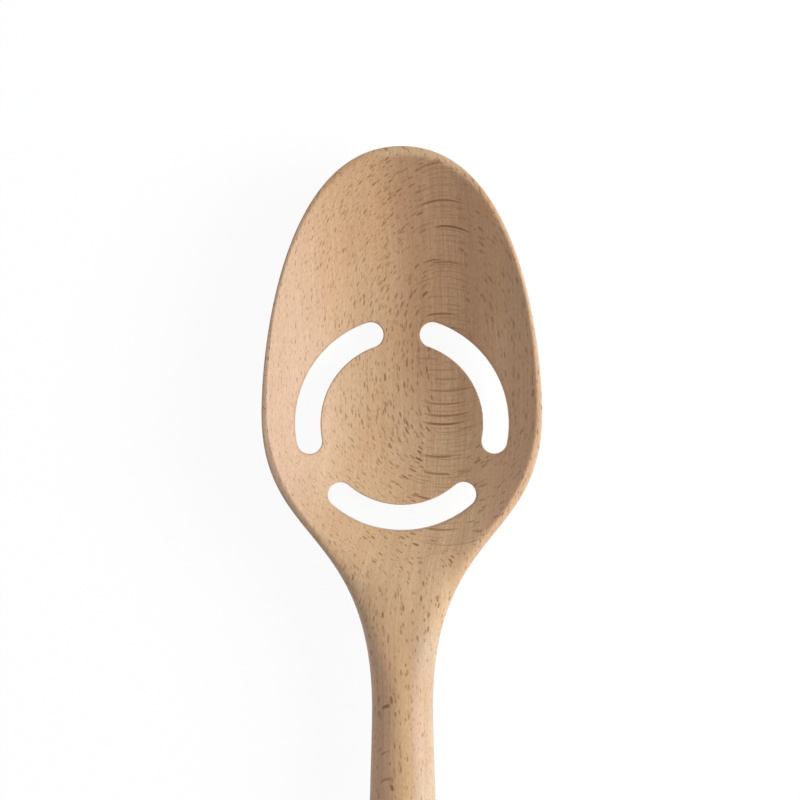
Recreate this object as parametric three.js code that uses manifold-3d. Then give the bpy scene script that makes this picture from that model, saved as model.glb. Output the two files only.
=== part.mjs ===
// Egg separator spoon, carved from a single piece of beech.
// Millimetres, +Z up. The spoon lies on its back with the hollow facing up, +Y runs along it
// to the tip, and the origin is on the table under the middle of its length.
import * as THREE from "three";
import { mergeVertices } from "three/addons/utils/BufferGeometryUtils.js";
import Module from "manifold-3d";

// Plan. Stations are measured from the tip, along the spoon.
const LENGTH = 300;
const BOWL_WIDTH = 63;
const TIP_TO_WIDEST = 60;
const NECK_WIDTH = 13.75;
const TIP_TO_NECK = 126.5;
const HANDLE_WIDTH = 20.5;
const HANDLE_END_ROUND = 14;

// How far each curve of the outline runs straight on from its end before it turns.
const TIP_BLUNTNESS = 26.7;
const BOWL_SIDE_TO_TIP = 15.2;
const BOWL_SIDE_TO_NECK = 29.75;
const NECK_FROM_BOWL = 41.4;
const NECK_TO_HANDLE = 12;
const HANDLE_FROM_NECK = 70;

// Side view, heights above the table.
const RIM_HEIGHT = 16;
const RIM_CROWN = 1;
const NECK_TOP = 17.5;
const NECK_UNDERSIDE = 5.5;
const TIP_TO_HEEL = 108;
const HANDLE_END_THICKNESS = 12.5;

// Each section is half an ellipse, power 2. Round the bowl its top is flatter, with a higher power
// that fades out between a station near the hollow's end and the neck.
const SECTION_POWER = 2;
const RIM_POWER = 5;
const TIP_TO_RIM_FADE = 88;

// The flat that sanding leaves on the bowl's back, as the depth taken off.
const REST_FLAT_DEPTH = 0.5;

// The hollow, an egg-shaped scoop with its deepest point at the widest station. It is dished more
// gently towards the heel. Its edge is crisp along the rim and softens towards the neck.
const FLOOR_THICKNESS = 5;
const SIDE_LAND = 1.4;
const TIP_LAND = 1.9;
const LAND_RISE = 0.6;
const TIP_TO_HOLLOW_END = 95.2;
const HOLLOW_FRONT_POWER = 2.2;
const HOLLOW_HEEL_POWER = 1.87;
const SCOOP_POWER = 2.4;
const HEEL_SCOOP_POWER = 1.6;
const RIM_EASE = 0.25;
const NECK_EASE = 2.5;
const TIP_TO_SOFT_EDGE = 84;

// Three slots on a ring round the yolk seat. The white runs through, the yolk stays.
const SLOT_COUNT = 3;
const TIP_TO_YOLK_SEAT = 62.3;
const SLOT_RING_RADIUS = 21.3;
const SLOT_WIDTH = 5.8;
const SLOT_WEB = 8.5;
const CUT_PAST = 2;

// Facets: ribs along each curve of one side, and the steps of a rib. On the top there are steps up to
// the hollow's edge and steps over the land outside it. Ribs without that edge change over at a share.
const RIBS = { tip: 22, shoulder: 26, handle: 14, end: 8 };
const HOLLOW_STEPS = 12;
const LAND_STEPS = 6;
const CHANGE_SHARE = 0.7;
const BACK_STEPS = 10;
const HALVINGS = 20;
const SLOT_SEGMENTS = 14;
const JOIN_WITHIN = 1e-4;

const { lerp, smoothstep } = THREE.MathUtils;
const tipY = LENGTH / 2;
const widestY = tipY - TIP_TO_WIDEST;
const neckY = tipY - TIP_TO_NECK;
const endY = -LENGTH / 2;
const endRoundY = endY + HANDLE_END_ROUND;

// One side of the plan outline, from the tip round to the end of the handle.
function outlineSide() {
  const bowl = BOWL_WIDTH / 2;
  const neck = NECK_WIDTH / 2;
  const handle = HANDLE_WIDTH / 2;
  const point = (x, y) => new THREE.Vector2(x, y);
  const tipCurve = new THREE.CubicBezierCurve(
    point(0, tipY),
    point(TIP_BLUNTNESS, tipY),
    point(bowl, widestY + BOWL_SIDE_TO_TIP),
    point(bowl, widestY),
  );
  const shoulderCurve = new THREE.CubicBezierCurve(
    point(bowl, widestY),
    point(bowl, widestY - BOWL_SIDE_TO_NECK),
    point(neck, neckY + NECK_FROM_BOWL),
    point(neck, neckY),
  );
  const handleCurve = new THREE.CubicBezierCurve(
    point(neck, neckY),
    point(neck, neckY - NECK_TO_HANDLE),
    point(handle, endRoundY + HANDLE_FROM_NECK),
    point(handle, endRoundY),
  );
  const endCurve = new THREE.EllipseCurve(
    0, endRoundY, handle, HANDLE_END_ROUND, 0, -Math.PI / 2, true,
  );
  return [
    ...tipCurve.getSpacedPoints(RIBS.tip),
    ...shoulderCurve.getSpacedPoints(RIBS.shoulder).slice(1),
    ...handleCurve.getSpacedPoints(RIBS.handle).slice(1),
    ...endCurve.getPoints(RIBS.end).slice(1),
  ];
}

// A height that is level through the bowl, eases to its value at the neck, then to the handle's end.
function along(y, bowl, neck, end, settledY = neckY) {
  if (y > neckY) return lerp(bowl, neck, smoothstep(-y, -widestY, -settledY));
  return lerp(neck, end, smoothstep(-y, -neckY, -endRoundY));
}

const topLine = (y) => along(y, RIM_HEIGHT + RIM_CROWN, NECK_TOP, HANDLE_END_THICKNESS);
const backLine = (y) => along(y, -REST_FLAT_DEPTH, NECK_UNDERSIDE, 0, tipY - TIP_TO_HEEL);
const edgeLine = (y) =>
  along(y, RIM_HEIGHT, (NECK_TOP + NECK_UNDERSIDE) / 2, HANDLE_END_THICKNESS / 2);

// How far out in the hollow a point of the plan is: 0 at the deepest point, 1 at the hollow's edge.
function outward({ x, y }) {
  const atFront = y > widestY;
  const reach = atFront ? TIP_TO_WIDEST - TIP_LAND : TIP_TO_HOLLOW_END - TIP_TO_WIDEST;
  const power = atFront ? HOLLOW_FRONT_POWER : HOLLOW_HEEL_POWER;
  const across = Math.abs(x) / (BOWL_WIDTH / 2 - SIDE_LAND);
  const onward = Math.abs(y - widestY) / reach;
  return (across ** power + onward ** power) ** (1 / power);
}

// The scooped surface over a point of the plan. It lies above the wood outside the hollow.
function scoopHeight(place) {
  const toHeel = smoothstep(-place.y, -widestY, TIP_TO_HOLLOW_END - tipY);
  const power = lerp(SCOOP_POWER, HEEL_SCOOP_POWER, toHeel);
  return lerp(FLOOR_THICKNESS, RIM_HEIGHT + LAND_RISE, outward(place) ** power);
}

// The lower of two heights, with the corner between them rounded over that height difference.
function easedLower(a, b, ease) {
  const near = Math.max(ease - Math.abs(a - b), 0) / ease;
  return Math.min(a, b) - (near * near * ease) / 4;
}

// The share of the way along a rib at which the hollow's edge crosses it.
function hollowShare(at) {
  let inside = 0;
  let outside = 1;
  for (let i = 0; i < HALVINGS; i++) {
    const middle = (inside + outside) / 2;
    if (outward(at(middle)) < 1) inside = middle;
    else outside = middle;
  }
  return inside;
}

// Shares from one to another, closer together towards the second. The first is left out.
function sharesBetween(from, to, steps) {
  const shares = [];
  for (let step = 1; step <= steps; step++) {
    shares.push(lerp(from, to, Math.sin(((Math.PI / 2) * step) / steps)));
  }
  return shares;
}

// One rib: a half section from the top's middle line, round the edge, to the back's middle line.
function rib(edge) {
  const footY = THREE.MathUtils.clamp(edge.y, endRoundY, widestY);
  const middle = { top: topLine(footY), back: backLine(footY) };
  const edgeHeight = edgeLine(edge.y);
  const flatness = smoothstep(edge.y, neckY, tipY - TIP_TO_RIM_FADE);
  const topPower = lerp(SECTION_POWER, RIM_POWER, flatness);
  const fullness = (t, power) => (1 - t ** power) ** (1 / power);
  const at = (t) => ({ x: edge.x * t, y: lerp(footY, edge.y, t) });
  const topAt = (t) => {
    const place = at(t);
    const crown = lerp(edgeHeight, middle.top, fullness(t, topPower));
    const softness = smoothstep(-place.y, TIP_TO_SOFT_EDGE - tipY, TIP_TO_HOLLOW_END - tipY);
    const z = easedLower(crown, scoopHeight(place), lerp(RIM_EASE, NECK_EASE, softness));
    return new THREE.Vector3(place.x, place.y, z);
  };
  const backAt = (t) => {
    const { x, y } = at(t);
    return new THREE.Vector3(x, y, lerp(edgeHeight, middle.back, fullness(t, SECTION_POWER)));
  };
  const change = Math.max(hollowShare(at), CHANGE_SHARE);
  const land = sharesBetween(change, 1, LAND_STEPS).slice(0, -1);
  const top = [0, ...sharesBetween(0, change, HOLLOW_STEPS), ...land];
  const back = [0, ...sharesBetween(0, 1, BACK_STEPS)];
  return [...top.map(topAt), ...back.reverse().map(backAt)];
}

// The carved blank: ribs all the way round the outline, skinned into one closed surface.
function blankGeometry() {
  const right = outlineSide();
  const left = right.slice(1, -1).reverse().map((p) => new THREE.Vector2(-p.x, p.y));
  const ribs = [...right, ...left].map(rib);
  const perRib = ribs[0].length;
  const positions = ribs.flat().flatMap((p) => [p.x, p.y, p.z]);
  const index = [];
  ribs.forEach((_, i) => {
    const here = i * perRib;
    const next = ((i + 1) % ribs.length) * perRib;
    for (let k = 0; k < perRib - 1; k++) {
      index.push(here + k, next + k, here + k + 1);
      index.push(next + k, next + k + 1, here + k + 1);
    }
  });
  const geometry = new THREE.BufferGeometry();
  geometry.setAttribute("position", new THREE.Float32BufferAttribute(positions, 3));
  geometry.setIndex(index);
  return geometry;
}

// One slot, an arc of the ring with round ends, through the whole bowl.
function slotGeometry(angle) {
  const radius = SLOT_RING_RADIUS;
  const endRadius = SLOT_WIDTH / 2;
  const halfSpan = Math.PI / SLOT_COUNT - (SLOT_WEB + SLOT_WIDTH) / (2 * radius);
  const from = angle - halfSpan;
  const to = angle + halfSpan;
  const shape = new THREE.Shape();
  shape.absarc(0, 0, radius + endRadius, from, to, false);
  shape.absarc(radius * Math.cos(to), radius * Math.sin(to), endRadius, to, to + Math.PI, false);
  shape.absarc(0, 0, radius - endRadius, to, from, true);
  const last = from + Math.PI;
  shape.absarc(radius * Math.cos(from), radius * Math.sin(from), endRadius, last, last + Math.PI, false);
  const depth = RIM_HEIGHT + RIM_CROWN + REST_FLAT_DEPTH + 2 * CUT_PAST;
  const geometry = new THREE.ExtrudeGeometry(shape, {
    depth, bevelEnabled: false, curveSegments: SLOT_SEGMENTS,
  });
  return geometry.translate(0, tipY - TIP_TO_YOLK_SEAT, -REST_FLAT_DEPTH - CUT_PAST);
}

// The slab below the table, which the bowl's back is sanded down to.
function belowTableGeometry() {
  const slab = new THREE.BoxGeometry(BOWL_WIDTH, LENGTH, REST_FLAT_DEPTH + CUT_PAST);
  return slab.translate(0, 0, -(REST_FLAT_DEPTH + CUT_PAST) / 2);
}

const wasm = await Module();
wasm.setup();

// A closed geometry as a solid, its coincident points joined and its flattened triangles dropped.
function solidOf(geometry) {
  const bare = geometry.clone();
  bare.deleteAttribute("normal");
  bare.deleteAttribute("uv");
  const merged = mergeVertices(bare, JOIN_WITHIN);
  const corners = [];
  for (let i = 0; i < merged.index.count; i += 3) {
    const [a, b, c] = [0, 1, 2].map((k) => merged.index.getX(i + k));
    if (a !== b && b !== c && c !== a) corners.push(a, b, c);
  }
  const vertProperties = new Float32Array(merged.attributes.position.array);
  const triVerts = new Uint32Array(corners);
  return new wasm.Manifold(new wasm.Mesh({ numProp: 3, vertProperties, triVerts }));
}

function geometryOf(solid) {
  const { vertProperties, triVerts } = solid.getMesh();
  const geometry = new THREE.BufferGeometry();
  geometry.setAttribute("position", new THREE.BufferAttribute(vertProperties, 3));
  geometry.setIndex(new THREE.BufferAttribute(triVerts, 1));
  return geometry;
}

let carved = solidOf(blankGeometry()).subtract(solidOf(belowTableGeometry()));
for (let i = 0; i < SLOT_COUNT; i++) {
  const angle = -Math.PI / 2 + (i * 2 * Math.PI) / SLOT_COUNT;
  carved = carved.subtract(solidOf(slotGeometry(angle)));
}

const beech = new THREE.MeshStandardMaterial({ color: 0xd0a57c, roughness: 0.6, metalness: 0 });
const spoon = new THREE.Mesh(geometryOf(carved), beech);
spoon.name = "spoon";

const part = new THREE.Group();
part.add(spoon);

export default part;
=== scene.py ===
# %% [markdown]
# # An egg separator spoon in beech
# The real thing is one piece of beech: a bowl, a neck and a handle, carved and sanded, with three
# curved slots cut through the bowl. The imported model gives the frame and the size. This lesson makes
# the same spoon again with a much finer skin, gives it the figure of beech, and lights it as a studio
# would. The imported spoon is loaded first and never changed, so that both share one frame.

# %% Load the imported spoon
import math

import bmesh
import bpy
import numpy as np
from mathutils.geometry import delaunay_2d_cdt
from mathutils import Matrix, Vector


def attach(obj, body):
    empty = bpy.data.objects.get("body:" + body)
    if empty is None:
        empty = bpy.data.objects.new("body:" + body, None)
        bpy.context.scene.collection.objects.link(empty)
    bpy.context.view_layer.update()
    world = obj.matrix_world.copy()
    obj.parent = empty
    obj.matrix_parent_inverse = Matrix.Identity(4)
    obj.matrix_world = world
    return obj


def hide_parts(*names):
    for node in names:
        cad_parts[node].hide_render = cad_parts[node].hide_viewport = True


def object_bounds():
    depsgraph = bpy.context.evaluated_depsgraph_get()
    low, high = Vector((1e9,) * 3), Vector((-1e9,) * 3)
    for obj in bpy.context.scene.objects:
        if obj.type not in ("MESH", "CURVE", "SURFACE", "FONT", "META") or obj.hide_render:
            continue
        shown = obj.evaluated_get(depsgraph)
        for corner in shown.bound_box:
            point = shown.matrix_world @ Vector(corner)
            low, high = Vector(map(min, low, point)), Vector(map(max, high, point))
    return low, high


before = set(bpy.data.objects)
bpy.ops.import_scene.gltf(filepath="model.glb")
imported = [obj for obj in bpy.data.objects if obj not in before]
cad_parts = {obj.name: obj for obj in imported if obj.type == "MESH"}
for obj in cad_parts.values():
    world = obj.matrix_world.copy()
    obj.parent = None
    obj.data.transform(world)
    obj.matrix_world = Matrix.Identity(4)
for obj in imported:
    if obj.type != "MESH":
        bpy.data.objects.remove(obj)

cad_low, cad_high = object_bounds()
MM = 0.001
print("packed nodes:", sorted(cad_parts))
print("packed size in mm:", [round(side / MM, 2) for side in cad_high - cad_low])

# %% [markdown]
# ## The camera
# The spoon was photographed from straight above, with the handle running out of the picture. A short
# lens would look into the slots from the side. A long lens far away keeps their walls almost hidden,
# as they are in such a picture. Its distance follows from the lens and from how many millimetres the
# picture takes in at the height of the rim.

# %% Camera straight above the bowl
FRAME_WIDTH = 179.5
RIM_HEIGHT = 16.0
VIEW_CENTRE = (-0.4, 93.0)
VIEW_ROLL = math.radians(-0.13)
LENS = 200.0
SENSOR = 36.0

camera_distance = FRAME_WIDTH * LENS / SENSOR
camera = bpy.data.objects.new("camera", bpy.data.cameras.new("camera"))
camera.data.lens = LENS
camera.data.sensor_width = SENSOR
camera.location = (VIEW_CENTRE[0] * MM, VIEW_CENTRE[1] * MM, (RIM_HEIGHT + camera_distance) * MM)
camera.rotation_euler = (0, 0, VIEW_ROLL)
bpy.context.collection.objects.link(camera)
bpy.context.scene.camera = camera
print("camera height in mm:", round(RIM_HEIGHT + camera_distance))

# %% [markdown]
# ## The template
# A spoonmaker draws round a template: a blunt tip, the widest place a little behind the middle of the
# bowl, a neck, and a handle that swells towards its round end. A traced list of points would be stiff
# and nobody could read it. A few sizes and four curves give one side, and the other side is its
# mirror image.

# %% Sizes of the template in mm
LENGTH = 300.0
BOWL_WIDTH = 63.0
TIP_TO_WIDEST = 60.0
NECK_WIDTH = 13.75
TIP_TO_NECK = 126.5
HANDLE_WIDTH = 20.5
HANDLE_END_ROUND = 14.0

TIP_Y = LENGTH / 2
WIDEST_Y = TIP_Y - TIP_TO_WIDEST
NECK_Y = TIP_Y - TIP_TO_NECK
END_ROUND_Y = HANDLE_END_ROUND - LENGTH / 2
print("tip, widest place, neck and end round at y in mm:", TIP_Y, WIDEST_Y, NECK_Y, END_ROUND_Y)

# %% One side of the template
# Each of these says how far a curve runs on in its first direction before it turns.
TIP_BLUNTNESS = 26.7
BOWL_SIDE_TO_TIP = 15.2
BOWL_SIDE_TO_NECK = 29.75
NECK_FROM_BOWL = 41.4
NECK_TO_HANDLE = 12.0
HANDLE_FROM_NECK = 70.0
CURVE_STEPS = 600


def curve(start, leaving, arriving, end):
    """A smooth curve between two points, drawn towards two handles on its way."""
    t = np.linspace(0, 1, CURVE_STEPS)[:, None]
    a, b, c, d = (np.array(point) for point in (start, leaving, arriving, end))
    return (1 - t) ** 3 * a + 3 * (1 - t) ** 2 * t * b + 3 * (1 - t) * t ** 2 * c + t ** 3 * d


def template_side():
    bowl, neck, handle = BOWL_WIDTH / 2, NECK_WIDTH / 2, HANDLE_WIDTH / 2
    tip = curve((0, TIP_Y), (TIP_BLUNTNESS, TIP_Y), (bowl, WIDEST_Y + BOWL_SIDE_TO_TIP), (bowl, WIDEST_Y))
    shoulder = curve((bowl, WIDEST_Y), (bowl, WIDEST_Y - BOWL_SIDE_TO_NECK),
                     (neck, NECK_Y + NECK_FROM_BOWL), (neck, NECK_Y))
    grip = curve((neck, NECK_Y), (neck, NECK_Y - NECK_TO_HANDLE),
                 (handle, END_ROUND_Y + HANDLE_FROM_NECK), (handle, END_ROUND_Y))
    turn = np.linspace(0, math.pi / 2, CURVE_STEPS)
    end = np.stack([handle * np.cos(turn), END_ROUND_Y - HANDLE_END_ROUND * np.sin(turn)], axis=1)
    return np.concatenate([tip, shoulder[1:], grip[1:], end[1:]])


side = template_side()
run = np.concatenate([[0], np.cumsum(np.hypot(*np.diff(side, axis=0).T))])
print("length of one side of the template in mm:", round(run[-1], 1))

# %% [markdown]
# ## Lines along the spoon
# On the real spoon the top, the back and the edge between them each run level through the bowl, then
# ease to the neck and on to the handle's end. They could be drawn as three curves, but then no
# formula would know them. One function that eases between three heights serves for all of them.

# %% Easing from the bowl to the handle's end


def between(a, b, share):
    return a + (b - a) * share


def ease(value, start, end):
    """A smooth step from 0 to 1 between two values."""
    t = np.clip((value - start) / (end - start), 0, 1)
    return t * t * (3 - 2 * t)


def along(y, bowl, neck, end, settled_y=NECK_Y):
    """Level through the bowl, then easing to the neck's value, then to the handle's end."""
    to_neck = between(bowl, neck, ease(-y, -WIDEST_Y, -settled_y))
    to_end = between(neck, end, ease(-y, -NECK_Y, -END_ROUND_Y))
    return np.where(y > NECK_Y, to_neck, to_end)


print("half way from the bowl to the neck, 0 has become", along((WIDEST_Y + NECK_Y) / 2, 0, 1, 1))

# %% [markdown]
# ## The hollow
# A cutter scoops the bowl out to an egg shape that is deepest at the widest place. Its edge is crisp
# along the rim, where it leaves a narrow land, and runs out softly into the neck. Taking a second
# solid away from the spoon would leave a hard edge all round, so the hollow is a height too, and it
# says for each place how soft its edge is there.

# %% The hollow's height
FLOOR_THICKNESS = 5.0
SIDE_LAND = 1.4
TIP_LAND = 1.9
LAND_RISE = 0.6
TIP_TO_HOLLOW_END = 95.2
HOLLOW_FRONT_POWER = 2.2
HOLLOW_HEEL_POWER = 1.87
SCOOP_POWER = 2.4
HEEL_SCOOP_POWER = 1.6
RIM_EASE = 0.25
NECK_EASE = 2.5
TIP_TO_SOFT_EDGE = 84.0


def outward(x, y):
    """How far out in the hollow: 0 at the deepest point, 1 at the hollow's edge."""
    at_front = y > WIDEST_Y
    reach = np.where(at_front, TIP_TO_WIDEST - TIP_LAND, TIP_TO_HOLLOW_END - TIP_TO_WIDEST)
    power = np.where(at_front, HOLLOW_FRONT_POWER, HOLLOW_HEEL_POWER)
    across = np.abs(x) / (BOWL_WIDTH / 2 - SIDE_LAND)
    onward = np.abs(y - WIDEST_Y) / reach
    return (across ** power + onward ** power) ** (1 / power)


def hollow(x, y):
    """The hollow's height, and how soft its edge is."""
    to_heel = ease(-y, -WIDEST_Y, TIP_TO_HOLLOW_END - TIP_Y)
    scoop_share = outward(x, y) ** between(SCOOP_POWER, HEEL_SCOOP_POWER, to_heel)
    scoop = between(FLOOR_THICKNESS, RIM_HEIGHT + LAND_RISE, scoop_share)
    to_neck = ease(-y, TIP_TO_SOFT_EDGE - TIP_Y, TIP_TO_HOLLOW_END - TIP_Y)
    return scoop, between(RIM_EASE, NECK_EASE, to_neck)


print("depth of the hollow under the rim in mm:", RIM_HEIGHT - FLOOR_THICKNESS)

# %% [markdown]
# ## Top and back
# Across the spoon every section is a soft oval: full in the handle, half of one round the bowl's
# back, and flatter over the rim. It could be sculpted, but nobody could measure it then. Written as
# heights over the plan, the skin can be as fine as the render needs. Where the oval and the hollow
# meet, the lower of the two wins.

# %% Heights over the plan
RIM_CROWN = 1.0
NECK_TOP = 17.5
NECK_UNDERSIDE = 5.5
TIP_TO_HEEL = 108.0
HANDLE_END_THICKNESS = 12.5
SECTION_POWER = 2.0
RIM_POWER = 5.0
TIP_TO_RIM_FADE = 88.0
REST_FLAT_DEPTH = 0.5


def lower_of(a, b, softness):
    """The lower of two heights, with the corner between them eased."""
    near = np.maximum(softness - np.abs(a - b), 0) / softness
    return np.minimum(a, b) - near ** 2 * softness / 4


def fullness(share, power):
    """The height of an oval of height 1, at a share of the way to its edge."""
    return np.maximum(1 - share ** power, 0) ** (1 / power)


def heights(x, y, share, foot_y, edge_y):
    """Top and back of the wood at a share of the way from the middle line to the edge."""
    edge = along(edge_y, RIM_HEIGHT, (NECK_TOP + NECK_UNDERSIDE) / 2, HANDLE_END_THICKNESS / 2)
    middle_top = along(foot_y, RIM_HEIGHT + RIM_CROWN, NECK_TOP, HANDLE_END_THICKNESS)
    middle_back = along(foot_y, -REST_FLAT_DEPTH, NECK_UNDERSIDE, 0, TIP_Y - TIP_TO_HEEL)
    flatness = ease(edge_y, NECK_Y, TIP_Y - TIP_TO_RIM_FADE)
    crown = between(edge, middle_top, fullness(share, between(SECTION_POWER, RIM_POWER, flatness)))
    scoop, softness = hollow(x, y)
    top = np.where(share < 1, lower_of(crown, scoop, softness), edge)
    back = np.maximum(between(edge, middle_back, fullness(share, SECTION_POWER)), 0)
    return top, back


print("neck's thickness in mm:", NECK_TOP - NECK_UNDERSIDE, "handle's end:", HANDLE_END_THICKNESS)

# %% [markdown]
# ## From a point of the plan to its section
# The sections are no real thing on the spoon, they only carry its form. In the bowl's front half they
# fan out from the deepest point, behind it they lie straight across, and they fan out again at the
# handle's end. A mesh made of them alone would be needlessly fine in the fans. Finding the section
# through any point lets the points lie where the mesh wants them.

# %% Which section a point lies on
tip_part = side[: CURVE_STEPS]
tip_angle = np.arctan2(tip_part[:, 0], tip_part[:, 1] - WIDEST_Y)
tip_reach = np.hypot(tip_part[:, 0], tip_part[:, 1] - WIDEST_Y)


def section_of(x, y):
    """The share along the section, the section's length, and the y of its foot and of its edge."""
    foot_y = np.clip(y, END_ROUND_Y, WIDEST_Y)
    across, onward = np.abs(x), np.abs(y - foot_y)
    angle = np.arctan2(across, onward)
    straight = np.interp(-y, -side[:, 1], side[:, 0])
    fan = np.interp(angle, tip_angle, tip_reach)
    end = 1 / np.hypot(np.sin(angle) / (HANDLE_WIDTH / 2), np.cos(angle) / HANDLE_END_ROUND)
    length = np.where(y > WIDEST_Y, fan, np.where(y < END_ROUND_Y, end, straight))
    share = np.hypot(across, onward) / length
    edge_y = foot_y + np.sign(y - foot_y) * length * np.cos(angle)
    return share, length, foot_y, np.where(onward > 0, edge_y, y)


def surface(plan):
    """Top and back heights over any points of the plan."""
    x, y = plan.T
    share, _, foot_y, edge_y = section_of(x, y)
    return heights(x, y, np.minimum(share, 1), foot_y, edge_y)


middle = np.array([[0.0, WIDEST_Y], [0.0, NECK_Y], [0.0, END_ROUND_Y]])
for spot, top, back in zip(("bowl", "neck", "handle end"), *surface(middle)):
    print(f"thickness on the middle line at the {spot} in mm: {top - back:.1f}")

# %% [markdown]
# ## The slots
# A router cuts each slot with round ends, along a ring about as wide as a yolk, and sanding then
# breaks the sharp edges. Cutting a hole into a finished mesh leaves ragged faces, so each slot is
# drawn as a loop from the start. The skin is meshed up to the loop, and the rounded edge and the
# wall are strips that hang from it.

# %% A slot's loop at any distance from its wall
SLOT_COUNT = 3
TIP_TO_YOLK_SEAT = 62.3
SLOT_RING_RADIUS = 21.3
SLOT_WIDTH = 5.8
SLOT_WEB = 8.5
SLOT_ARC_STEPS = 56
SLOT_END_STEPS = 18

SEAT_Y = TIP_Y - TIP_TO_YOLK_SEAT
slot_half_span = math.pi / SLOT_COUNT - (SLOT_WEB + SLOT_WIDTH) / (2 * SLOT_RING_RADIUS)
slot_angles = [-math.pi / 2 + turn * 2 * math.pi / SLOT_COUNT for turn in range(SLOT_COUNT)]


def arc(centre, radius, start, end, steps):
    angle = np.linspace(start, end, steps, endpoint=False)
    return np.stack([centre[0] + radius * np.cos(angle), centre[1] + radius * np.sin(angle)], axis=1)


def slot_loop(angle, outside):
    """The slot's outline, moved out into the wood by a distance, anticlockwise."""
    start, end = angle - slot_half_span, angle + slot_half_span
    half = SLOT_WIDTH / 2 + outside
    seat = (0.0, SEAT_Y)
    first = np.array(seat) + SLOT_RING_RADIUS * np.array([math.cos(start), math.sin(start)])
    last = np.array(seat) + SLOT_RING_RADIUS * np.array([math.cos(end), math.sin(end)])
    return np.concatenate([
        arc(seat, SLOT_RING_RADIUS + half, start, end, SLOT_ARC_STEPS),
        arc(last, half, end, end + math.pi, SLOT_END_STEPS),
        arc(seat, SLOT_RING_RADIUS - half, end, start, SLOT_ARC_STEPS),
        arc(first, half, start + math.pi, start + 2 * math.pi, SLOT_END_STEPS),
    ])


slot_length = 2 * slot_half_span * SLOT_RING_RADIUS + SLOT_WIDTH
print("slot length along its middle in mm:", round(slot_length, 1))

# %% How far a point is from the slots


def slot_distance(plan):
    """How far points of the plan are from the nearest slot's wall, less than 0 inside a slot."""
    x, y = plan[:, 0], plan[:, 1] - SEAT_Y
    nearest = np.full(len(plan), np.inf)
    for angle in slot_angles:
        turned = (np.arctan2(y, x) - angle + math.pi) % (2 * math.pi) - math.pi
        held = angle + np.clip(turned, -slot_half_span, slot_half_span)
        gap = np.hypot(x - SLOT_RING_RADIUS * np.cos(held), y - SLOT_RING_RADIUS * np.sin(held))
        nearest = np.minimum(nearest, gap - SLOT_WIDTH / 2)
    return nearest


seat_radius = slot_distance(np.array([[0.0, SEAT_Y]]))[0]
print("width of the yolk's seat in mm:", round(2 * seat_radius, 1))

# %% [markdown]
# ## Rings and a net of triangles
# Near the edge the sanded surface turns over quickly, so rings that follow the template carry it,
# closer together towards the edge. Inside the innermost ring it is gentle. A plain grid would cut the
# slots and the ring into steps, so a constrained triangulation fills it with an even net that leaves
# the slots out. The top and the back use the same net, because they lie over the same plan.

# %% Rings along the template
RIB_SPACING = 0.5
BAND_START = 0.8

rib_count = round(run[-1] / RIB_SPACING)
at = np.linspace(0, run[-1], rib_count + 1)
right = np.stack([np.interp(at, run, side[:, 0]), np.interp(at, run, side[:, 1])], axis=1)
left = right[-2:0:-1] * (-1, 1)
rib_edges = np.concatenate([right, left])
rib_feet = np.stack([np.zeros(len(rib_edges)), np.clip(rib_edges[:, 1], END_ROUND_Y, WIDEST_Y)], axis=1)


def ring_at(share):
    return rib_feet + share * (rib_edges - rib_feet)


inner_ring = ring_at(BAND_START)
print("points on each ring:", len(inner_ring))

# %% The net inside the rings
NET_SPACING = 0.7
NET_CLEAR = 0.5
SLOT_EDGE_EASE = 0.4
KEEP_TRIANGLES = 0
SAME_POINT = 1e-6


def even_net(spacing):
    """Points on a triangular grid inside the innermost ring, clear of the ring and of the slots."""
    row_step = spacing * math.sqrt(3) / 2
    rows = np.arange(-LENGTH / 2, LENGTH / 2, row_step)
    columns = np.arange(-BOWL_WIDTH / 2, BOWL_WIDTH / 2, spacing)
    y, x = np.meshgrid(rows, columns, indexing="ij")
    x = x + (np.arange(len(rows)) % 2)[:, None] * spacing / 2
    plan = np.stack([x.ravel(), y.ravel()], axis=1)
    share, length, _, _ = section_of(*plan.T)
    clear_of_ring = (BAND_START - share) * length > NET_CLEAR * spacing
    clear_of_slots = slot_distance(plan) > SLOT_EDGE_EASE + NET_CLEAR * spacing
    return plan[clear_of_ring & clear_of_slots]


loops = [inner_ring] + [slot_loop(angle, SLOT_EDGE_EASE) for angle in slot_angles]
plan = np.concatenate(loops + [even_net(NET_SPACING)])
starts = np.cumsum([0] + [len(loop) for loop in loops])
borders = [list(range(start, start + len(loop))) for start, loop in zip(starts, loops)]
borders[0].reverse()
points, _, triangles, _, _, inside = delaunay_2d_cdt(
    plan.tolist(), [], borders, KEEP_TRIANGLES, SAME_POINT, True)
triangles = np.array([triangle for triangle, loop in zip(triangles, inside) if loop == [0]])
print("points in the net:", len(points), "of", len(plan), "triangles:", len(triangles))

# %% [markdown]
# ## Sewing the skin together
# The wood's surface has no seam anywhere, and a gap in the mesh would show as one. The rings join the
# top and the back round the outside, and the net gives both sheets. Welding separate pieces by
# distance could miss a point, so every strip uses its neighbours' own points from the start.

# %% The rings round the outside
TOP_BAND_STEPS = 26
BACK_BAND_STEPS = 12
corners = []
faces = []


def set_points(plan, height):
    """Adds points and returns their numbers."""
    start = sum(len(block) for block in corners)
    corners.append(np.column_stack([plan, height]))
    return np.arange(start, start + len(plan))


def strip(one, two):
    """Quads between two closed loops of as many points."""
    faces.extend(np.stack([one, np.roll(one, -1), np.roll(two, -1), two], axis=1).tolist())


def band_shares(steps):
    """Shares from the innermost ring to the edge, closer together towards the edge."""
    return np.sin(np.linspace(math.asin(BAND_START), math.pi / 2, steps + 1))


def ring_heights(share):
    return heights(*ring_at(share).T, np.full(len(rib_edges), share), rib_feet[:, 1], rib_edges[:, 1])


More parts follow.
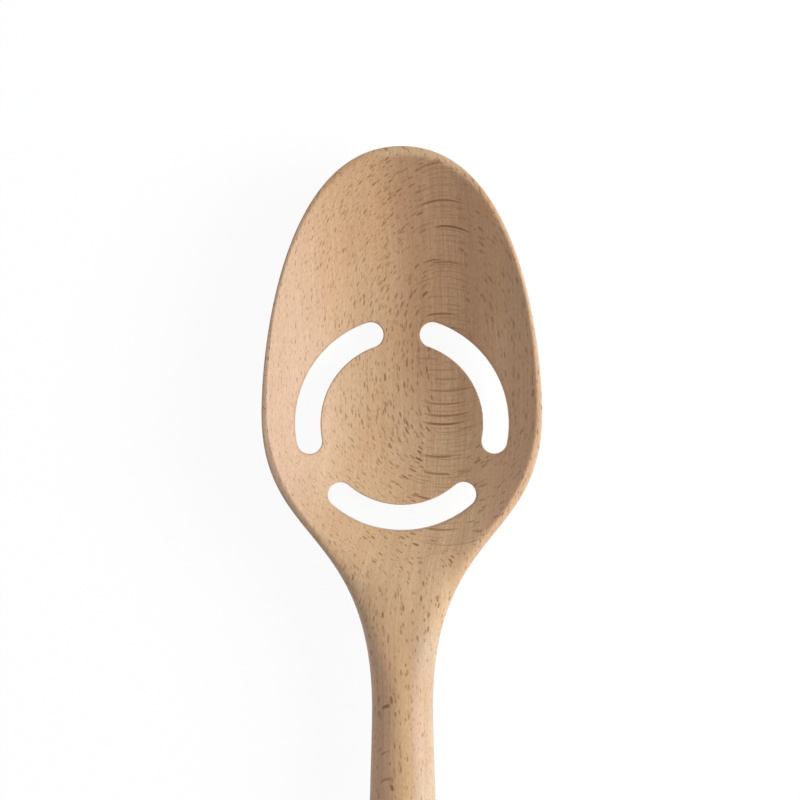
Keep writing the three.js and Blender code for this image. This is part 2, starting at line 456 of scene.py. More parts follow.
rings = [set_points(ring_at(share), ring_heights(share)[0]) for share in band_shares(TOP_BAND_STEPS)]
for share in band_shares(BACK_BAND_STEPS)[-2::-1]:
    rings.append(set_points(ring_at(share), ring_heights(share)[1]))
for one, two in zip(rings, rings[1:]):
    strip(one, two)
print("rings:", len(rings), "faces in them:", len(faces))

# %% Top and back over the net
fill = plan[len(inner_ring):]
fill_top, fill_back = surface(fill)
top_sheet = np.concatenate([rings[0], set_points(fill, fill_top)])
back_sheet = np.concatenate([rings[-1], set_points(fill, fill_back)])
faces.extend(top_sheet[triangles].tolist())
faces.extend(back_sheet[triangles][:, ::-1].tolist())
print("points so far:", sum(len(block) for block in corners))

# %% [markdown]
# ## Edges and walls of the slots
# Sandpaper has rounded each slot's two edges by a few tenths of a millimetre, and the wall between
# them stands upright. A bevel modifier would do it on a plain box, but here the loops lie on a curved
# floor, where it makes uneven corners. Strips that turn from the surface into the wall follow the
# floor exactly.

# %% Rounded edges and upright walls
EASE_STEPS = 5
WALL_STEPS = 8
turns = np.linspace(0, 1, EASE_STEPS + 1)[1:]


def rounded(start, corner, end, t):
    return (1 - t) ** 2 * start + 2 * t * (1 - t) * corner + t ** 2 * end


for angle, border in zip(slot_angles, borders[1:]):
    outer = slot_loop(angle, SLOT_EDGE_EASE)
    wall = slot_loop(angle, 0)
    outer_top, outer_back = surface(outer)
    wall_top, wall_back = surface(wall)
    high, low = wall_top - SLOT_EDGE_EASE, wall_back + SLOT_EDGE_EASE
    hanging = [top_sheet[border]]
    for t in turns:
        hanging.append(set_points(rounded(outer, wall, wall, t), rounded(outer_top, wall_top, high, t)))
    for t in np.linspace(0, 1, WALL_STEPS + 1)[1:]:
        hanging.append(set_points(wall, between(high, low, t)))
    for t in turns[:-1][::-1]:
        hanging.append(set_points(rounded(outer, wall, wall, t), rounded(outer_back, wall_back, low, t)))
    hanging.append(back_sheet[border])
    for one, two in zip(hanging, hanging[1:]):
        strip(one, two)
    print("height of a slot's wall in mm:", round(float((high - low).min()), 1), "or more")

# %% [markdown]
# ## The spoon as a Blender object
# Points and faces become a mesh in metres, held inside the imported spoon's height. The faces' outsides
# could be set by hand, strip by strip, but Blender finds them by itself on a closed skin. The spoon
# then rides on the imported body and stands in for the imported node, which is hidden.

# %% Into a Blender object
mesh = bpy.data.meshes.new("carved_spoon")
skin = np.concatenate(corners)
skin[:, 2] = np.clip(skin[:, 2], cad_low.z / MM, cad_high.z / MM)
mesh.from_pydata((skin * MM).tolist(), [], faces)
shell = bmesh.new()
shell.from_mesh(mesh)
bmesh.ops.recalc_face_normals(shell, faces=shell.faces)
open_edges = sum(not edge.is_manifold for edge in shell.edges)
shell.to_mesh(mesh)
shell.free()
mesh.shade_smooth()
spoon = bpy.data.objects.new("carved_spoon", mesh)
bpy.context.collection.objects.link(spoon)
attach(spoon, "root")
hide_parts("spoon")
print("faces:", len(mesh.polygons), "open edges:", open_edges)

# %% [markdown]
# ## The pale land at the tip, partly painted light
# The narrow land round the hollow is paler at the tip than the wood beside it: the ground colour comes
# back there over the peachy patches, and it is kept to the tip's right side, where the lamp falls, as
# painted light. A pattern in the solid can't follow that edge, and a painted mask would need a picture.
# The formula of the hollow knows the edge, so each point of the mesh gets a value that the material
# can read.

# %% Mark the land
LAND_SHARE = (0.985, 1.005)
LAND_Y = (138.0, 148.0)
# The paleness is kept to the tip's right side, where the lamp falls: painted light.
LIT_SIDE_X = (-10.0, -3.0)

on_land = ease(outward(*skin[:, :2].T), *LAND_SHARE)
lit_tip = ease(skin[:, 1], *LAND_Y) * ease(skin[:, 0], *LIT_SIDE_X)
mesh.attributes.new("rim", "FLOAT", "POINT").data.foreach_set("value", on_land * lit_tip)
print("points on the pale land:", np.count_nonzero(on_land * lit_tip))

# %% [markdown]
# ## Beech
# Steamed beech, sanded and left matt. It gives the eye a pale pinkish brown with a soft, broad shine
# and no mirror in it, and a figure that comes from the rays: ribbons of darker tissue that run out from
# the middle of the tree. Cut across, they are short dark flecks. Cut along, they are long thin lines.
# A picture of wood stretched over the bowl would show flecks of one kind everywhere, so the pattern
# is made in the solid, in the log's own directions, and the surface cuts through it as the tool did.

# %% One way to add a node, and the empty material


def linear(hex_colour):
    """An sRGB hex colour as linear RGBA."""
    parts = [int(hex_colour[i : i + 2], 16) / 255 for i in (1, 3, 5)]
    return [c / 12.92 if c <= 0.04045 else ((c + 0.055) / 1.055) ** 2.4 for c in parts] + [1.0]


def add(tree, kind, links, **settings):
    """Adds a node with its settings, and links or sets its inputs."""
    made = tree.nodes.new("ShaderNode" + kind)
    for name, value in settings.items():
        setattr(made, name, value)
    for socket, value in links.items():
        if isinstance(value, bpy.types.Node):
            value = next(output for output in value.outputs if output.enabled)
        if isinstance(value, bpy.types.NodeSocket):
            tree.links.new(value, made.inputs[socket])
        else:
            made.inputs[socket].default_value = value
    return made


beech = bpy.data.materials.new("sanded_beech")
beech.use_nodes = True
tree = beech.node_tree
tree.nodes.clear()
print("a middle grey in linear light:", round(linear("#808080")[0], 3))

# %% [markdown]
# ## The log's directions
# In the log's directions X runs out along the rays, Y along the grain and Z across the rays. The
# spoon was sawn from the log a little askew: the rays lean to one side in the bowl and more in the
# handle, and the grain dives slightly. An empty could carry the pattern, but it turns all of it
# alike. Two turns of the spoon's own coordinates give all that. The surface's normal is turned the
# same way, so that the material knows how steeply it cuts the rays.

# %% From the spoon to the log
LEAN_BOWL = math.radians(13)
LEAN_HANDLE = math.radians(30)
DIVE = math.radians(-2.8)
LEAN_FROM_Y = 72.0
LEAN_TO_Y = 40.0

spoon_place = add(tree, "TexCoord", {}).outputs["Object"]
in_mm = add(tree, "VectorMath", {"Vector": spoon_place, "Scale": 1 / MM}, operation="SCALE")
plan_place = add(tree, "SeparateXYZ", {"Vector": in_mm})
across_spoon, along_spoon = plan_place.outputs["X"], plan_place.outputs["Y"]


def by_place(handle, bowl):
    """A value that changes from the handle's to the bowl's where the lean of the rays does."""
    return add(tree, "MapRange", {
        "Value": along_spoon, "From Min": LEAN_TO_Y, "From Max": LEAN_FROM_Y,
        "To Min": handle, "To Max": bowl,
    }, interpolation_type="SMOOTHSTEP")


def turned_to_log(vector, lean_centre, dive_centre):
    """A place or a direction on the spoon, in the log's directions."""
    leaned = add(tree, "VectorRotate", {
        "Vector": vector, "Center": lean_centre, "Angle": lean,
    }, rotation_type="Y_AXIS")
    return add(tree, "VectorRotate", {
        "Vector": leaned, "Center": dive_centre, "Angle": DIVE,
    }, rotation_type="X_AXIS")


lean = by_place(LEAN_HANDLE, LEAN_BOWL)
log_place = turned_to_log(in_mm, (0, 0, FLOOR_THICKNESS), (0, WIDEST_Y, 0))
surface_normal = add(tree, "NewGeometry", {}).outputs["Normal"]
log_normal = turned_to_log(surface_normal, (0, 0, 0), (0, 0, 0))
normal_parts = add(tree, "SeparateXYZ", {"Vector": log_normal})
leaning = add(tree, "Math", {0: normal_parts.outputs["X"]}, operation="ABSOLUTE")
facing = add(tree, "Math", {0: normal_parts.outputs["Z"]}, operation="ABSOLUTE")
print("material nodes for the log's directions:", len(tree.nodes))

# %% [markdown]
# ## Rays scattered through the log
# In the tree the rays lie at random, none touching the next. A noise would give blotches of all
# sizes. A Voronoi texture divides the log into cells with one centre each, so each cell holds one
# ray, and the cell's random colour says how dark the ray is and whether the cell keeps it.

# %% One ray to a cell
PALEST_RAY = 0.4


def scattered(place, cell, shift, share):
    """The way from the nearest cell's centre in mm, and how dark that cell's ray is."""
    moved = add(tree, "VectorMath", {0: place, 1: shift}, operation="ADD")
    in_cells = add(tree, "VectorMath", {0: moved, 1: cell}, operation="DIVIDE")
    cells = add(tree, "TexVoronoi", {"Vector": in_cells, "Scale": 1.0}, voronoi_dimensions="3D")
    away = add(tree, "VectorMath", {0: in_cells, 1: cells.outputs["Position"]}, operation="SUBTRACT")
    away_in_mm = add(tree, "VectorMath", {0: away, 1: cell}, operation="MULTIPLY")
    chance = add(tree, "SeparateColor", {"Color": cells.outputs["Color"]})
    held = add(tree, "Math", {0: chance.outputs["Red"], 1: share}, operation="LESS_THAN")
    depth = add(tree, "MapRange", {"Value": chance.outputs["Green"], "To Min": PALEST_RAY})
    return away_in_mm, add(tree, "Math", {0: held, 1: depth}, operation="MULTIPLY")


def ray_from(parts, depth, softness):
    """Dark inside the ellipsoid whose half sides scale the three parts, fading at its skin."""
    vector = add(tree, "CombineXYZ", dict(enumerate(parts)))
    far = add(tree, "VectorMath", {"Vector": vector}, operation="LENGTH")
    lens = add(tree, "MapRange", {
        "Value": far, "From Min": 1.0, "From Max": 1.0 - softness,
    }, interpolation_type="SMOOTHSTEP")
    return add(tree, "Math", {0: lens, 1: depth}, operation="MULTIPLY")


print("rays keep from", PALEST_RAY, "to all of their darkness")

# %% [markdown]
# ## How large a fleck is
# Beech's broad rays are up to half a millimetre wide and two millimetres long where the surface lies
# level across them, and thinner where it cuts them steeply. Beside the long lines they are bolder and
# fewer, and so they are on the walls that face back along the rays and on the handle. One size would
# look printed, so the sizes follow the turned normal and the place along the spoon.

# %% How the surface meets the rays
STEEP_CUT = math.cos(math.radians(55))
LEVEL_CUT = math.cos(math.radians(14))
FLECKS_BOLD = math.sin(math.radians(7))
FLECKS_PLAIN = math.sin(math.radians(20))


def by_cut(steep, level):
    """A value that changes from where the surface cuts the rays steeply to where it is level."""
    return add(tree, "MapRange", {
        "Value": facing, "From Min": STEEP_CUT, "From Max": LEVEL_CUT,
        "To Min": steep, "To Max": level,
    })


def by_lean(plain, bold):
    """A value that changes from flecks on the bowl's side to those beside the long lines."""
    return add(tree, "MapRange", {
        "Value": leaning, "From Min": FLECKS_PLAIN, "From Max": FLECKS_BOLD,
        "To Min": plain, "To Max": bold,
    }, interpolation_type="SMOOTHSTEP")


def by_side(far, near):
    """A value that changes from the walls that face back along the rays to those that face out."""
    return add(tree, "MapRange", {
        "Value": normal_parts.outputs["X"], "From Min": -FLECKS_BOLD, "From Max": FLECKS_BOLD,
        "To Min": far, "To Max": near,
    })


print("flecks are bold up to", round(math.degrees(math.asin(FLECKS_BOLD))), "degrees off the rays")

# %% Sizes and numbers of flecks
# Half a fleck's length and half its width in mm, and how far under the surface a ray still shows.
FLECK_HALF_STEEP = (0.62, 0.125)
FLECK_HALF_LEVEL = (1.0, 0.26)
FLECK_REACH = 0.8
BOLD_SIZE = 1.35
FAR_SIZE = 1.45
FAR_SHARE = 0.38
HANDLE_FLECK_SIZE = (1.1, 1.6)
HANDLE_FLECK_SHARE = 0.5

bold_size = by_lean(1.0, BOLD_SIZE)
bowl_size = by_side(FAR_SIZE, 1.0)
fleck_share = by_place(HANDLE_FLECK_SHARE, by_side(FAR_SHARE, 1.0))
half_sizes = []
for steep, level, handle_size in zip(FLECK_HALF_STEEP, FLECK_HALF_LEVEL, HANDLE_FLECK_SIZE):
    cut_size = add(tree, "Math", {0: by_cut(steep, level), 1: bold_size}, operation="MULTIPLY")
    place_size = by_place(handle_size, bowl_size)
    half_sizes.append(add(tree, "Math", {0: cut_size, 1: place_size}, operation="MULTIPLY"))
half_sizes.append(FLECK_REACH)
for cut, halves in (("level", FLECK_HALF_LEVEL), ("steep", FLECK_HALF_STEEP)):
    print("length and width of a fleck in mm,", cut, "cut:", [2 * half for half in halves])

# %% [markdown]
# ## Flecks, the rays cut across
# A ray is a thin ribbon that lies flat across Z, so on the carved surface it is a dash along the line
# of equal Z. Stretching the texture would draw all dashes one way. That line is square to the
# surface's normal and to Z, and a cross product gives it, so each dash lies as its ray does. Two
# scatters, one of flecks and one of fine ticks, give the mixture of sizes that the wood has.

# %% Which way a fleck lies
ACROSS_RAYS = (0, 0, 1)

dash = add(tree, "VectorMath", {0: log_normal, 1: ACROSS_RAYS}, operation="CROSS_PRODUCT")
dash_way = add(tree, "VectorMath", {0: dash}, operation="NORMALIZE")
side_way = add(tree, "VectorMath", {0: log_normal, 1: dash_way}, operation="CROSS_PRODUCT")
print("material nodes up to the flecks' direction:", len(tree.nodes))

# %% Flecks and ticks
FLECK_CELL = 1.7
FLECK_SHARE = (0.8, 0.4)
FLECK_SHIFT = (3.0, 0.0, 0.0)
TICK_CELL = 1.1
TICK_SHARE = (0.9, 0.3)
TICK_SHIFT = (0.0, 4.0, 6.0)
TICK_SIZE = 0.65
TICK_DEPTH = 0.9
FLECKS_GONE = math.sin(math.radians(2))
FLECK_SOFTNESS = 0.45
PLAIN_DEPTH = 0.85
FAR_DEPTH = 0.75


def short_rays(cell, shift, share, size):
    """Dashes of the half sizes above, times a size."""
    kept = add(tree, "Math", {0: by_lean(*share), 1: fleck_share}, operation="MULTIPLY")
    away, depth = scattered(log_place, (cell,) * 3, shift, kept)
    parts = []
    for way, half_size in zip((dash_way, side_way, log_normal), half_sizes):
        part = add(tree, "VectorMath", {0: away, 1: way}, operation="DOT_PRODUCT")
        scaled = add(tree, "Math", {0: part, 1: half_size}, operation="DIVIDE")
        parts.append(add(tree, "Math", {0: scaled, 1: size}, operation="DIVIDE"))
    return ray_from(parts, depth, FLECK_SOFTNESS)


bold = short_rays(FLECK_CELL, FLECK_SHIFT, FLECK_SHARE, 1.0)
ticks = short_rays(TICK_CELL, TICK_SHIFT, TICK_SHARE, TICK_SIZE)
fine = add(tree, "Math", {0: ticks, 1: TICK_DEPTH}, operation="MULTIPLY")
cut_across = add(tree, "MapRange", {
    "Value": leaning, "From Min": FLECKS_GONE, "From Max": FLECKS_BOLD,
}, interpolation_type="SMOOTHSTEP")
flecks = add(tree, "Math", {0: bold, 1: fine}, operation="MAXIMUM")
for depth in (cut_across, by_side(FAR_DEPTH, 1.0), by_lean(PLAIN_DEPTH, 1.0)):
    flecks = add(tree, "Math", {0: flecks, 1: depth}, operation="MULTIPLY")
print("flecks about one in", round(FLECK_CELL ** 3 / (2 * FLECK_REACH * FLECK_SHARE[0]), 1), "square mm")

# %% [markdown]
# ## Lines, the rays cut along
# Right of the bowl's middle the surface lies along the rays, and they show as long thin lines across
# the grain. A line is about as wide as its ray, half a millimetre, and as long as the cut follows it,
# some 16 mm. Where the bowl rises to the tip they arch, and where it rises to the heel they sag. On
# the handle, just below the neck, a few short arches show on one side. Curved lines could be drawn
# one by one. Bending the coordinates before the scattering bends cells and lines together, so no line
# breaks at the border of a cell.

# %% Coordinates bent round an apex
BEND_X = 9.5
BEND_FROM_Y = 90.0
BEND_TO_Y = 124.0
SAG = -0.025
ARCH = 0.045
HANDLE_BEND_X = -3.0
HANDLE_ARCH = 0.25

bowl_rate = add(tree, "MapRange", {
    "Value": along_spoon, "From Min": BEND_FROM_Y, "From Max": BEND_TO_Y, "To Min": SAG, "To Max": ARCH,
}, interpolation_type="SMOOTHSTEP")


def bent(apex_x, rate):
    """The log's coordinates, with arcs round an apex bent straight."""
    from_apex = add(tree, "Math", {0: across_spoon, 1: apex_x}, operation="SUBTRACT")
    squared = add(tree, "Math", {0: from_apex, 1: from_apex}, operation="MULTIPLY")
    fall = add(tree, "Math", {0: squared, 1: rate}, operation="MULTIPLY")
    straightening = add(tree, "CombineXYZ", {"Y": fall})
    return add(tree, "VectorMath", {0: log_place, 1: straightening}, operation="ADD")


bowl_bent = bent(BEND_X, bowl_rate)
handle_bent = bent(HANDLE_BEND_X, HANDLE_ARCH)
print("an arch falls by", round(ARCH * 10 ** 2, 1), "mm at 10 mm from its apex")

# %% Where the lines show
LINES_FULL = math.sin(math.radians(5))
LINES_GONE = math.sin(math.radians(11))
FLAT_GONE = math.cos(math.radians(60))
FLAT_FULL = math.cos(math.radians(35))
ARCHES_GONE_Y = -20.0
ARCHES_FULL_Y = 0.0

lies_along = add(tree, "MapRange", {
    "Value": leaning, "From Min": LINES_GONE, "From Max": LINES_FULL,
}, interpolation_type="SMOOTHSTEP")
lies_flat = add(tree, "MapRange", {
    "Value": facing, "From Min": FLAT_GONE, "From Max": FLAT_FULL,
}, interpolation_type="SMOOTHSTEP")
cut_along = add(tree, "Math", {0: lies_along, 1: lies_flat}, operation="MULTIPLY")
near_neck = add(tree, "MapRange", {
    "Value": along_spoon, "From Min": ARCHES_GONE_Y, "From Max": ARCHES_FULL_Y,
}, interpolation_type="SMOOTHSTEP")
on_handle = add(tree, "Math", {0: by_place(1.0, 0.0), 1: near_neck}, operation="MULTIPLY")
print("lines show up to", round(math.degrees(math.asin(LINES_GONE))), "degrees off the rays")

# %% Dark lines, faint lines and arches
# A cell's size along the rays, the grain and across the rays, and half a line's length and width, in mm.
LINE_CELL = (19.0, 3.2, 60.0)
LINE_HALF = (8.0, 0.32)
LINE_SHIFT = (0.0, 5.0, 2.0)
LINE_SHARE = 0.65
FAINT_CELL = (9.0, 1.0, 60.0)
FAINT_HALF = (4.5, 0.18)
FAINT_SHIFT = (1.0, 2.0, 7.0)
FAINT_SHARE = 0.8
FAINT_DEPTH = 0.45
ARCH_CELL = (30.0, 7.0, 60.0)
ARCH_HALF = (12.0, 0.5)
ARCH_SHIFT = (2.0, 1.0, 4.0)
ARCH_SHARE = 1.0
LINE_SOFTNESS = 0.35


def long_rays(place, cell, shift, share, half_size):
    """Lines across the grain, straight in these coordinates."""
    away, depth = scattered(place, cell, shift, share)
    scales = [1 / half for half in half_size] + [0]
    parts = add(tree, "VectorMath", {0: away, 1: scales}, operation="MULTIPLY")
    scaled = add(tree, "SeparateXYZ", {"Vector": parts})
    return ray_from((scaled.outputs["X"], scaled.outputs["Y"]), depth, LINE_SOFTNESS)


lines = 0.0
for drawn, depth in (
    (long_rays(bowl_bent, LINE_CELL, LINE_SHIFT, LINE_SHARE, LINE_HALF), by_place(0.0, 1.0)),
    (long_rays(bowl_bent, FAINT_CELL, FAINT_SHIFT, FAINT_SHARE, FAINT_HALF), by_place(0.0, FAINT_DEPTH)),
    (long_rays(handle_bent, ARCH_CELL, ARCH_SHIFT, ARCH_SHARE, ARCH_HALF), on_handle),
):
    in_place = add(tree, "Math", {0: drawn, 1: depth}, operation="MULTIPLY")
    lines = add(tree, "Math", {0: lines, 1: in_place}, operation="MAXIMUM")
print("length and width of a dark line in mm:", [2 * half for half in LINE_HALF])

# %% Flecks and lines together
shown_lines = add(tree, "Math", {0: lines, 1: cut_along}, operation="MULTIPLY")
arched = add(tree, "Math", {0: cut_along, 1: on_handle}, operation="MULTIPLY")
clear_of_arches = add(tree, "Math", {0: 1.0, 1: arched}, operation="SUBTRACT")
shown_flecks = add(tree, "Math", {0: flecks, 1: clear_of_arches}, operation="MULTIPLY")
rays = add(tree, "Math", {0: shown_flecks, 1: shown_lines}, operation="MAXIMUM")
print("material nodes for the rays:", len(tree.nodes))

# %% [markdown]
# ## Fibre, pores and growth rings
# A year's growth is a few millimetres of slightly paler and slightly browner wood, one layer behind
# the other along the rays. The fibres and pores run along the grain. A Wave texture would make the
# rings too even, so noises are stretched to the size of each thing in the log's directions. Fibres
# and pores are about a tenth of a millimetre across, too fine to show here, so they are drawn a few
# times as coarse.

# %% Noises in the log's directions
# Sizes in mm along the rays, along the grain and across the rays.
RING = (5.0, 150.0, 30.0)
FIBRE = (0.42, 40.0, 3.0)
PORE = (0.25, 1.2, 0.25)
PATCH = (9.0, 22.0, 9.0)
RING_DETAIL = 2.0
PLAIN_DETAIL = 1.0
NOISE_MIDDLE = (0.3, 0.7)


def grain_noise(size, detail):
    """A soft noise with features of about this size in mm in the log's directions."""
    scaled = add(tree, "VectorMath", {0: log_place, 1: [1 / side for side in size]}, operation="MULTIPLY")
    return add(tree, "TexNoise", {"Vector": scaled, "Scale": 1.0, "Detail": detail})


def spread(noise, low, high):
    """The middle of a noise's range, spread from low to high."""
    return add(tree, "MapRange", {
        "Value": noise, "From Min": NOISE_MIDDLE[0], "From Max": NOISE_MIDDLE[1],
        "To Min": low, "To Max": high,
    })


ring_noise = grain_noise(RING, RING_DETAIL)
fibre_noise = grain_noise(FIBRE, PLAIN_DETAIL)
pore_noise = grain_noise(PORE, PLAIN_DETAIL)
patch_noise = grain_noise(PATCH, PLAIN_DETAIL)
print("width of ring, fibre and pore in mm:", RING[0], FIBRE[0], PORE[0])

# %% [markdown]
# ## Layers of the log
# Some years grew browner or warmer than others, and the carved surface shows them as broad bands: a brown
# one down the bowl beside its middle, and a honey layer in the handle. Other bands are painted light and
# shade laid in the same way: a pale one from the bowl to the neck is painted light on the heel's right
# flank, a warm one on the handle's left warms its shade, a pale one along the handle's right edge is a
# painted highlight, and rosy wood at both sides of the bowl is partly a painted sheen on the lit left
# wall. Bands painted on the plan would not go round the back. As layers at a depth along the rays they
# run through the whole piece. Each sets in, ends, and fades in along the spoon.

# %% Layers at a depth along the rays
# Each year, and each band of painted light or shade, sets in between its first two depths and ends between
# its last two, in mm.
BOWL_Y = (78.0, 108.0)
HANDLE_Y = (50.0, 30.0)
BROWN_YEAR = (-4.0, 5.0, 15.0, 24.0)
HONEY_YEAR = (1.0, 6.0, 7.5, 9.5)
# A warmer band on the handle's left, shaded side is painted shade colour: it warms the shade there.
WARMED_SHADE_DEPTHS = (-9.0, -7.0, 1.0, 7.0)
# A pale band along the handle's right, lit edge is a painted highlight.
EDGE_HIGHLIGHT_DEPTHS = (7.7, 9.0, 30.0, 40.0)
# A paler band on the right of the heel and neck is painted light, where that flank should catch more of
# the lamp.
PAINTED_LIGHT_DEPTHS = (2.0, 7.0, 30.0, 40.0)
PAINTED_LIGHT_Y = (78.0, 62.0)
PAINTED_LIGHT_GONE_Y = (36.0, 46.0)
BLUSH_YEAR = (16.0, 24.0, 60.0, 70.0)
BLUSH_Y = (118.0, 104.0)
# Rosy wood on the bowl's left, lit wall, made paler and greyer there as a painted sheen.
ROSY_SHEEN_FROM = -12.0
ROSY_SHEEN_TO = -24.0

ring_depth = add(tree, "SeparateXYZ", {"Vector": log_place}).outputs["X"]


def layer_along(depths, ends_y):
    """A layer that sets in and ends at depths along the rays, and fades in along the spoon."""
    layer = 1.0
    for measure, start, end in (
        (ring_depth, depths[0], depths[1]),
        (ring_depth, depths[3], depths[2]),
        (along_spoon, *ends_y),
    ):
        share = add(tree, "MapRange", {
            "Value": measure, "From Min": start, "From Max": end,
        }, interpolation_type="SMOOTHSTEP")
        layer = add(tree, "Math", {0: layer, 1: share}, operation="MULTIPLY")
    return layer


above_neck = add(tree, "MapRange", {
    "Value": along_spoon, "From Min": PAINTED_LIGHT_GONE_Y[0], "From Max": PAINTED_LIGHT_GONE_Y[1],
}, interpolation_type="SMOOTHSTEP")
painted_light_share = add(tree, "Math", {0: layer_along(PAINTED_LIGHT_DEPTHS, PAINTED_LIGHT_Y), 1: above_neck}, operation="MULTIPLY")
rosy_and_sheen_share = add(tree, "MapRange", {
    "Value": ring_depth, "From Min": ROSY_SHEEN_FROM, "From Max": ROSY_SHEEN_TO,
}, interpolation_type="SMOOTHSTEP")
print("brown layer in the bowl, in mm along the rays:", BROWN_YEAR[0], "to", BROWN_YEAR[-1])

# %% [markdown]
# ## The colour of the wood
# Over the pale ground lie the layers of the log and the bands of painted light and shade among them,
# peachy patches that grow towards the tip, the rings' and the brown year's brown, and the pale land,
# kept to the tip's lit side as painted light. One colour ramp could hold only one of these, so each is
# mixed over the ones before. Fibre and pores then darken or lighten the wood. Where beech is darker it
# is also browner, so blue and green take more of that tone than red. The rays come last.

# %% Ground and layers
PALE = "#DAB88C"
PEACH_PATCHES = 0.6
PEACH_AT_TIP = 0.4
PEACH_FROM_Y = 100.0
PEACH_TO_Y = 130.0
RING_BROWN = 0.3
YEAR_BROWN = 0.65
LIT_LAND_PALE = 0.7
BELOW, ABOVE = 6, 7  # a Mix node's two inputs for colours

patches = spread(patch_noise, 0.0, PEACH_PATCHES)
towards_tip = add(tree, "MapRange", {
    "Value": along_spoon, "From Min": PEACH_FROM_Y, "From Max": PEACH_TO_Y, "To Max": PEACH_AT_TIP,
}, interpolation_type="SMOOTHSTEP")
peach_share = add(tree, "Math", {0: patches, 1: towards_tip}, operation="ADD")
brown_year = add(tree, "Math", {0: layer_along(BROWN_YEAR, BOWL_Y), 1: YEAR_BROWN}, operation="MULTIPLY")
brown_share = add(tree, "Math", {0: spread(ring_noise, 0.0, RING_BROWN), 1: brown_year}, operation="ADD")
land = add(tree, "Attribute", {}, attribute_name="rim").outputs["Fac"]
lit_land_share = add(tree, "Math", {0: land, 1: LIT_LAND_PALE}, operation="MULTIPLY")

wood = linear(PALE)
for share, colour in (
    (layer_along(HONEY_YEAR, HANDLE_Y), "#E6BF8B"),
    # painted shade colour: warms the shaded left side of the handle
    (layer_along(WARMED_SHADE_DEPTHS, HANDLE_Y), "#E8B78A"),
    # painted highlight along the handle's lit right edge
    (layer_along(EDGE_HIGHLIGHT_DEPTHS, HANDLE_Y), "#E6CCAB"),
    # painted light: paler on the right of the heel and neck
    (painted_light_share, "#EAC697"),
    (peach_share, "#D6A674"),
    # rosy wood, partly a painted sheen on the lit left wall
    (rosy_and_sheen_share, "#DBB692"),
    (layer_along(BLUSH_YEAR, BLUSH_Y), "#E3B78B"),
    (brown_share, "#B88C64"),
    # the tip's land back to the ground colour, on its lit right side only: partly painted light
    (lit_land_share, PALE),
):
    wood = add(tree, "Mix", {"Factor": share, BELOW: wood, ABOVE: linear(colour)}, data_type="RGBA")
print("material nodes up to the layers:", len(tree.nodes))

# %% Fibre, pores and rays over the layers
FIBRE_DARK = (0.94, 0.88)
FIBRE_LIGHT = (1.04, 1.09)
PORE_TONE = (0.91, 1.07)
BROWNER = (1.0, 1.4, 1.75)
RAY_BROWN = "#865728"

# Each pair of fibre tones is for wood cut across the rays and along them, where fibres show more.
fibre_ends = []
for across_rays, along_rays in (FIBRE_DARK, FIBRE_LIGHT):
    end = add(tree, "MapRange", {"Value": cut_along, "To Min": across_rays, "To Max": along_rays})
    fibre_ends.append(end)
fibre_tone = spread(fibre_noise, *fibre_ends)
tone = add(tree, "Math", {0: fibre_tone, 1: spread(pore_noise, *PORE_TONE)}, operation="MULTIPLY")
tint = add(tree, "VectorMath", {0: tone, 1: BROWNER}, operation="POWER")
streaked = add(tree, "VectorMath", {0: wood, 1: tint}, operation="MULTIPLY")
flecked = add(tree, "Mix", {"Factor": rays, BELOW: streaked, ABOVE: linear(RAY_BROWN)}, data_type="RGBA")
print("the darkest ray keeps this much red:", round(linear(RAY_BROWN)[0] / linear(PALE)[0], 2))

# %% [markdown]
# ## Gloss and relief
# Sanded wood without varnish is matt: its shine is broad, fibre by fibre a little rougher or smoother,
# and fine ends of fibre catch light at the edges like a nap. A coat would look lacquered, so the plain
# surface has a middling roughness and a touch of sheen. As the wood dries, its rays sink by a few
# hundredths of a millimetre, which is too little for geometry and enough for a bump.

# %% The finished material
GLOSS = (0.5, 0.6)
WOOD_IOR = 1.5
SHINE = 0.7
NAP = 0.2
NAP_ROUGHNESS = 0.5
RELIEF = 0.05
RELIEF_STRENGTH = 0.2

sunk = add(tree, "Math", {0: fibre_noise, 1: rays}, operation="SUBTRACT")
relief = add(tree, "Bump", {"Height": sunk, "Strength": RELIEF_STRENGTH, "Distance": RELIEF * MM})
shader = add(tree, "BsdfPrincipled", {
    "Base Color": flecked, "Roughness": spread(fibre_noise, *GLOSS), "Normal": relief, "IOR": WOOD_IOR,
    "Sheen Weight": NAP, "Sheen Roughness": NAP_ROUGHNESS, "Specular IOR Level": SHINE,
})
add(tree, "OutputMaterial", {"Surface": shader})
mesh.materials.append(beech)
print("material nodes in all:", len(tree.nodes))

# %% [markdown]
# ## The table
# The picture has a bare white ground, as a board painted matt white gives the eye: no gloss, no grain
# and a soft shadow. Lamps strong enough to make it that white would bleach the spoon. So the board
# gives off its own white where the camera or a mirror image looks at it, and adds only a tenth of the
# light that falls on it, which keeps the shadow. For all other light it is a plain pale board.

# %% White table
TABLE_SIDE = 12.0
TABLE_DROP = 0.2

table_mesh = bpy.data.meshes.new("table")
half = TABLE_SIDE / 2
table_corners = [(x * half, y * half, -TABLE_DROP * MM) for x, y in ((-1, -1), (1, -1), (1, 1), (-1, 1))]
table_mesh.from_pydata(table_corners, [], [(0, 1, 2, 3)])
table = bpy.data.objects.new("table", table_mesh)
bpy.context.collection.objects.link(table)
print("table side in m:", TABLE_SIDE)

# %% White paint that keeps a shadow
BOARD_WHITE = "#FAFAFC"
WHITE_GLOW = 0.925
SHADOW_SHARE = "#595959"  # a tenth in linear light


def looked_at(tree):
    """1 for rays from the camera and their mirror images, 0 for the light that lands on things."""
    path = add(tree, "LightPath", {}).outputs
    mirrored = add(tree, "Math", {
        0: path["Is Glossy Ray"], 1: path["Is Transmission Ray"],
    }, operation="MAXIMUM")
    return add(tree, "Math", {0: path["Is Camera Ray"], 1: mirrored}, operation="MAXIMUM")


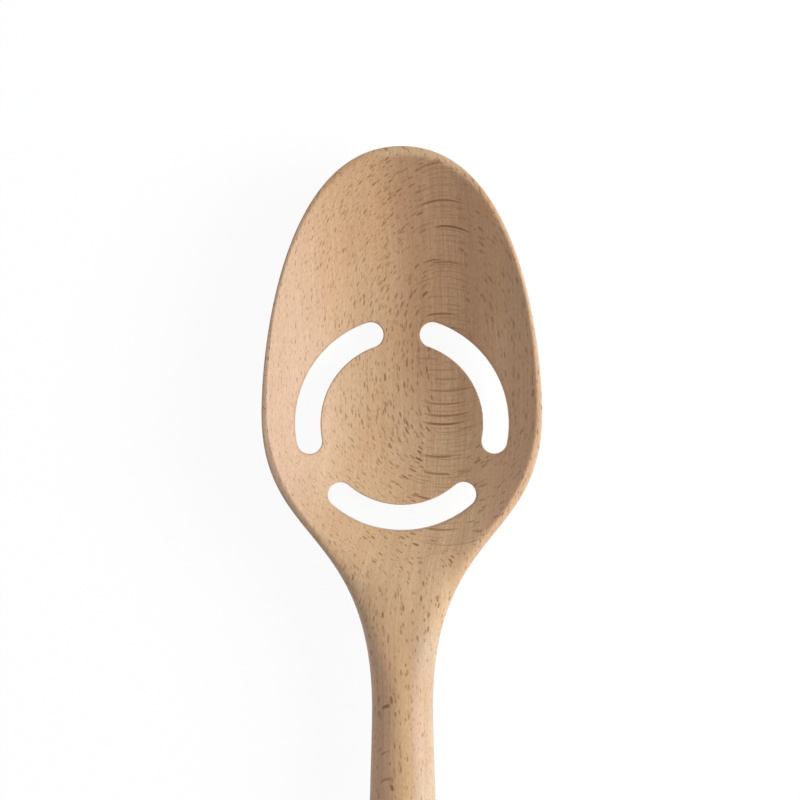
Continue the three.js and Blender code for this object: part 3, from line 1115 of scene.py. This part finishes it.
board = bpy.data.materials.new("white_board")
board.use_nodes = True
board_tree = board.node_tree
board_tree.nodes.clear()
matt = add(board_tree, "BsdfDiffuse", {"Color": linear(BOARD_WHITE)})
white = add(board_tree, "Emission", {"Color": linear("#FFFFFF"), "Strength": WHITE_GLOW})
shade = add(board_tree, "BsdfDiffuse", {"Color": linear(SHADOW_SHARE)})
shaded_white = add(board_tree, "AddShader", {0: white, 1: shade})
shown = add(board_tree, "MixShader", {0: looked_at(board_tree), 1: matt, 2: shaded_white})
add(board_tree, "OutputMaterial", {"Surface": shown})
table_mesh.materials.append(board)
print("share of the light that the shown table takes:", round(linear(SHADOW_SHARE)[0], 3))

# %% [markdown]
# ## Lamp and sky
# In the picture one broad light, low on the right, gives the bowl its light left wall and dark right
# wall. A sun would draw hard shadows, so this is a square area lamp, as large as a small window. An
# even sky fills the shadows, a little blue as daylight is, and shows white where it is looked at.

# %% Window lamp
LAMP_ELEVATION = math.radians(33)
LAMP_BEARING = math.radians(7)
LAMP_DISTANCE = 1.2
LAMP_SIDE = 0.7
LAMP_WATTS = 13.2

lamp = bpy.data.objects.new("window_lamp", bpy.data.lights.new("window_lamp", "AREA"))
lamp.data.size = LAMP_SIDE
lamp.data.energy = LAMP_WATTS
reach = LAMP_DISTANCE * math.cos(LAMP_ELEVATION)
lamp.location = (
    reach * math.cos(LAMP_BEARING),
    WIDEST_Y * MM + reach * math.sin(LAMP_BEARING),
    LAMP_DISTANCE * math.sin(LAMP_ELEVATION),
)
lamp.rotation_euler = (0, math.pi / 2 - LAMP_ELEVATION, LAMP_BEARING)
bpy.context.collection.objects.link(lamp)
print("lamp place in m:", [round(value, 2) for value in lamp.location])

# %% Even sky
SKY_COLOUR = "#EAEEFF"
SKY_STRENGTH = 0.375
BACKDROP_STRENGTH = 1.0

sky = bpy.data.worlds.new("studio")
sky.use_nodes = True
sky_tree = sky.node_tree
sky_tree.nodes.clear()
even = add(sky_tree, "Background", {"Color": linear(SKY_COLOUR), "Strength": SKY_STRENGTH})
backdrop = add(sky_tree, "Background", {"Color": linear("#FFFFFF"), "Strength": BACKDROP_STRENGTH})
studio = add(sky_tree, "MixShader", {0: looked_at(sky_tree), 1: even, 2: backdrop})
add(sky_tree, "OutputWorld", {"Surface": studio})
bpy.context.scene.world = sky
bpy.context.scene.view_settings.view_transform = "Standard"
print("sky strength:", SKY_STRENGTH)
